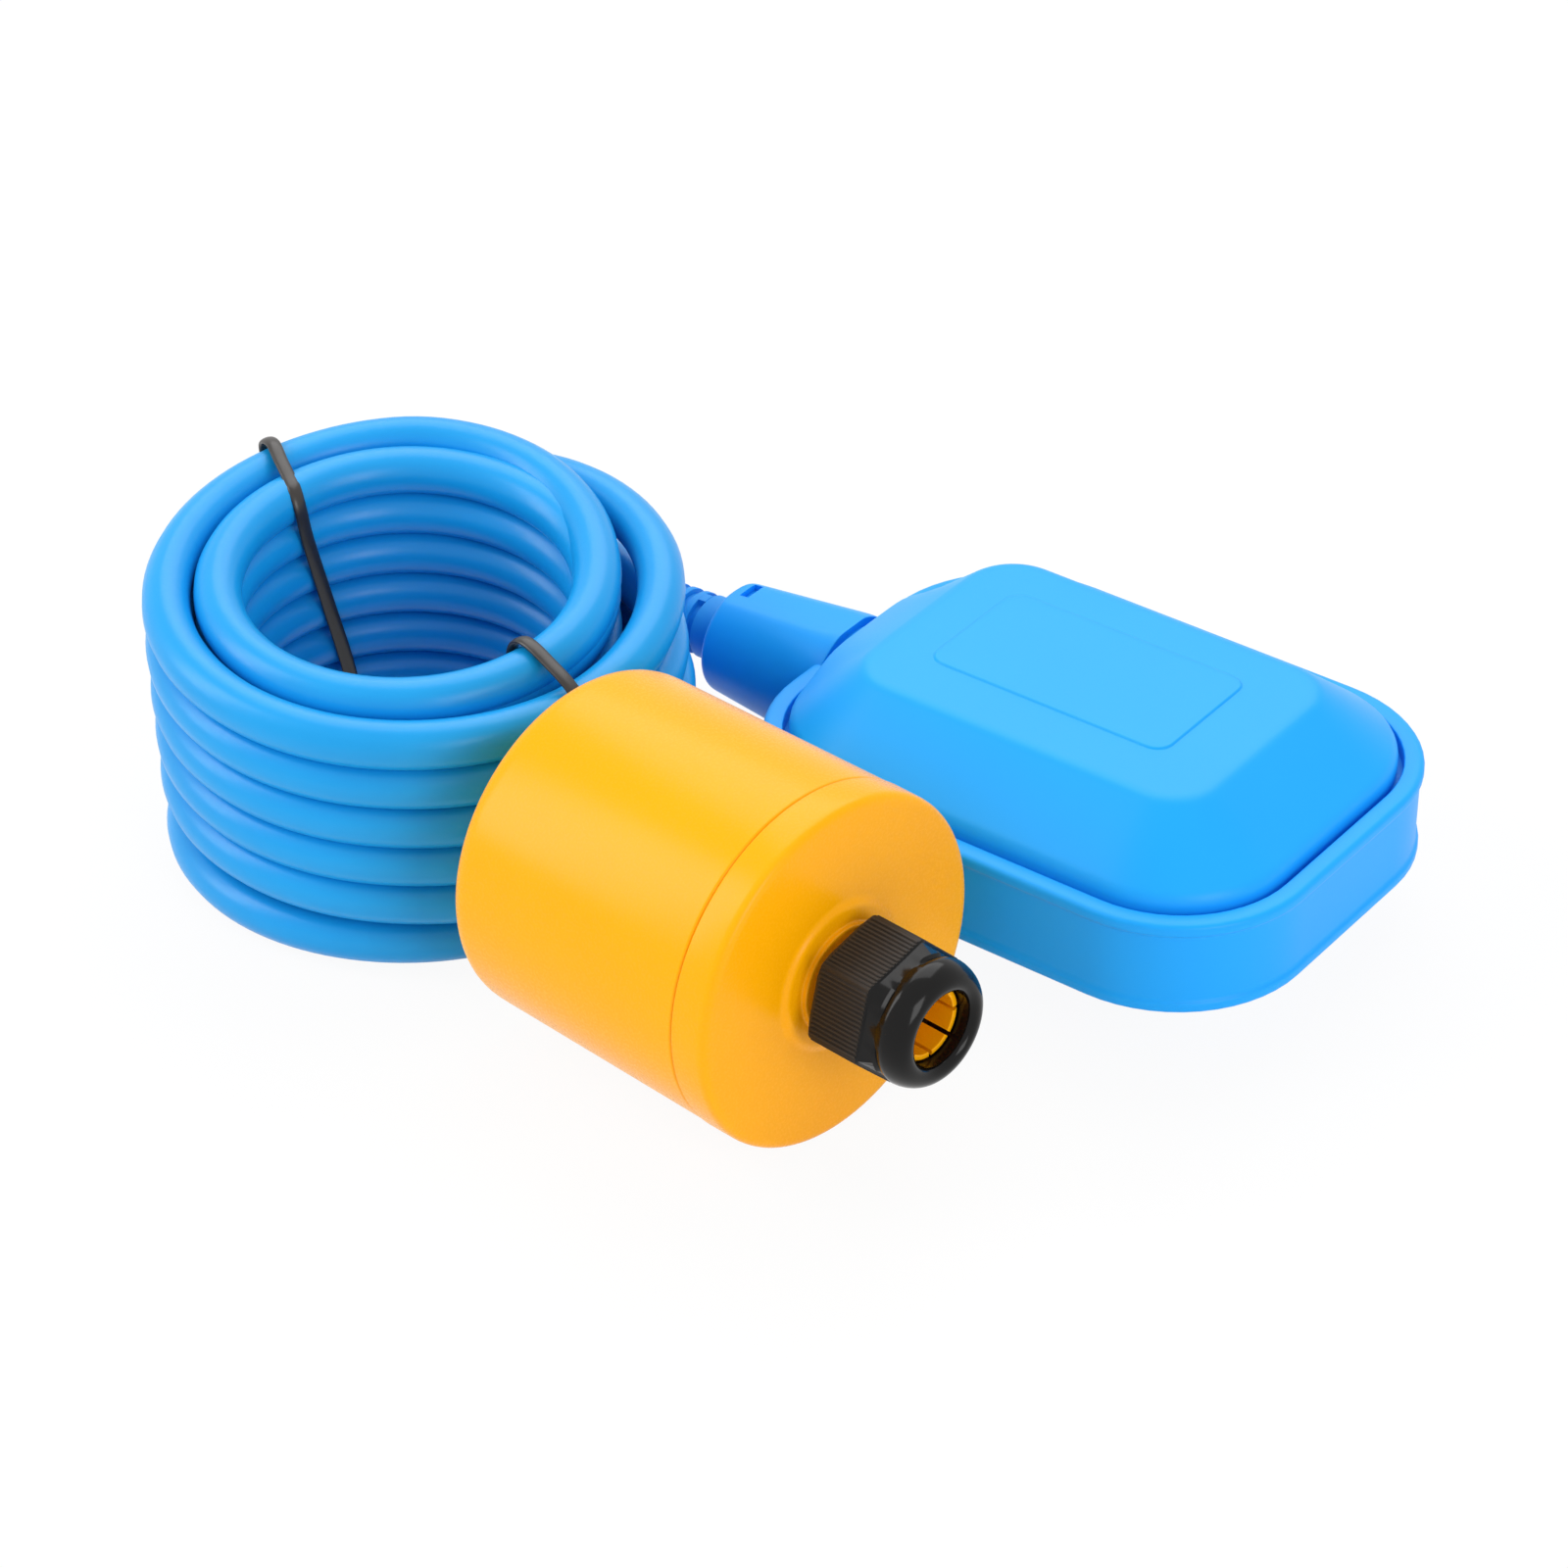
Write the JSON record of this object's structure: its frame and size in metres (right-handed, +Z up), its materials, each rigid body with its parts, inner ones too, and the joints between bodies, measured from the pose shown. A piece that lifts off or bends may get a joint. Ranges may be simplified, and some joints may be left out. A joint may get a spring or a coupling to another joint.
{
  "type": "cable float switch",
  "caption": "Hollow plastic float with a ball switch sealed inside, on a coiled cable tied for delivery, beside the cylindrical counterweight that clamps on the cable.",
  "frame": {"origin": "centre of the flat underside of the float, on the floor that everything rests on", "axes": "+Z up; -X along the float, out of its neck and along the cable; +Y across the float, away from the counterweight"},
  "size_m": [0.206, 0.1501, 0.0611],
  "materials": {
    "float_blue": "satin",
    "relief_blue": "satin",
    "cable_blue": "satin",
    "seal_rubber": "matte",
    "capsule_white": "matte",
    "track_nylon": "matte",
    "ball_steel": "polished",
    "switch_black": "matte",
    "lever_steel": "brushed",
    "pin_steel": "plain",
    "plunger_red": "matte",
    "terminal_brass": "plain",
    "core_brown": "satin",
    "core_blue": "satin",
    "core_green": "satin",
    "bare_copper": "plain",
    "weight_yellow": "gloss",
    "ballast_iron": "rough",
    "nut_black": "satin",
    "tie_black": "satin"
  },
  "bodies": {
    "float": {"float_body": "float_blue", "top_cover": "float_blue", "neck_barrel": "float_blue", "strain_relief": "relief_blue", "neck_seal": "seal_rubber", "cable_entry": "cable_blue", "capsule_tray": "capsule_white", "capsule_lid": "capsule_white", "ball_track": "track_nylon", "switch_case": "switch_black", "lever_pin": "pin_steel", "switch_terminals": "terminal_brass", "entry_core_brown": "core_brown", "entry_core_blue": "core_blue", "entry_core_green": "core_green", "weight_cup": "weight_yellow", "weight_cap": "weight_yellow", "ballast_sleeve": "ballast_iron", "dome_nut": "nut_black", "cable_lead": "cable_blue", "cable_coil": "cable_blue", "end_core_brown": "core_brown", "end_core_blue": "core_blue", "end_core_green": "core_green", "copper_ends": "bare_copper", "tie_back": "tie_black", "tie_front": "tie_black"},
    "ball": {"steel_ball": "ball_steel"},
    "lever": {"switch_lever": "lever_steel"},
    "plunger": {"switch_plunger": "plunger_red"}
  },
  "joints": [
    {"name": "ball_roll", "type": "slide", "parent": "float", "child": "ball", "axis": [-1, 0, 0], "range_m": [0, 0.0209]},
    {"name": "lever_swing", "type": "hinge", "parent": "float", "child": "lever", "pos_m": [-0.0021, 0.011, 0.02075], "axis": [0, 0, 1], "range_deg": [-10, 0]},
    {"name": "plunger_press", "type": "slide", "parent": "float", "child": "plunger", "axis": [-1, 0, 0], "range_m": [0, 0.0012]}
  ],
  "couplings": [
    {"joint": "plunger_press", "follows": "lever_swing", "m_per_rad": -0.00668}
  ]
}
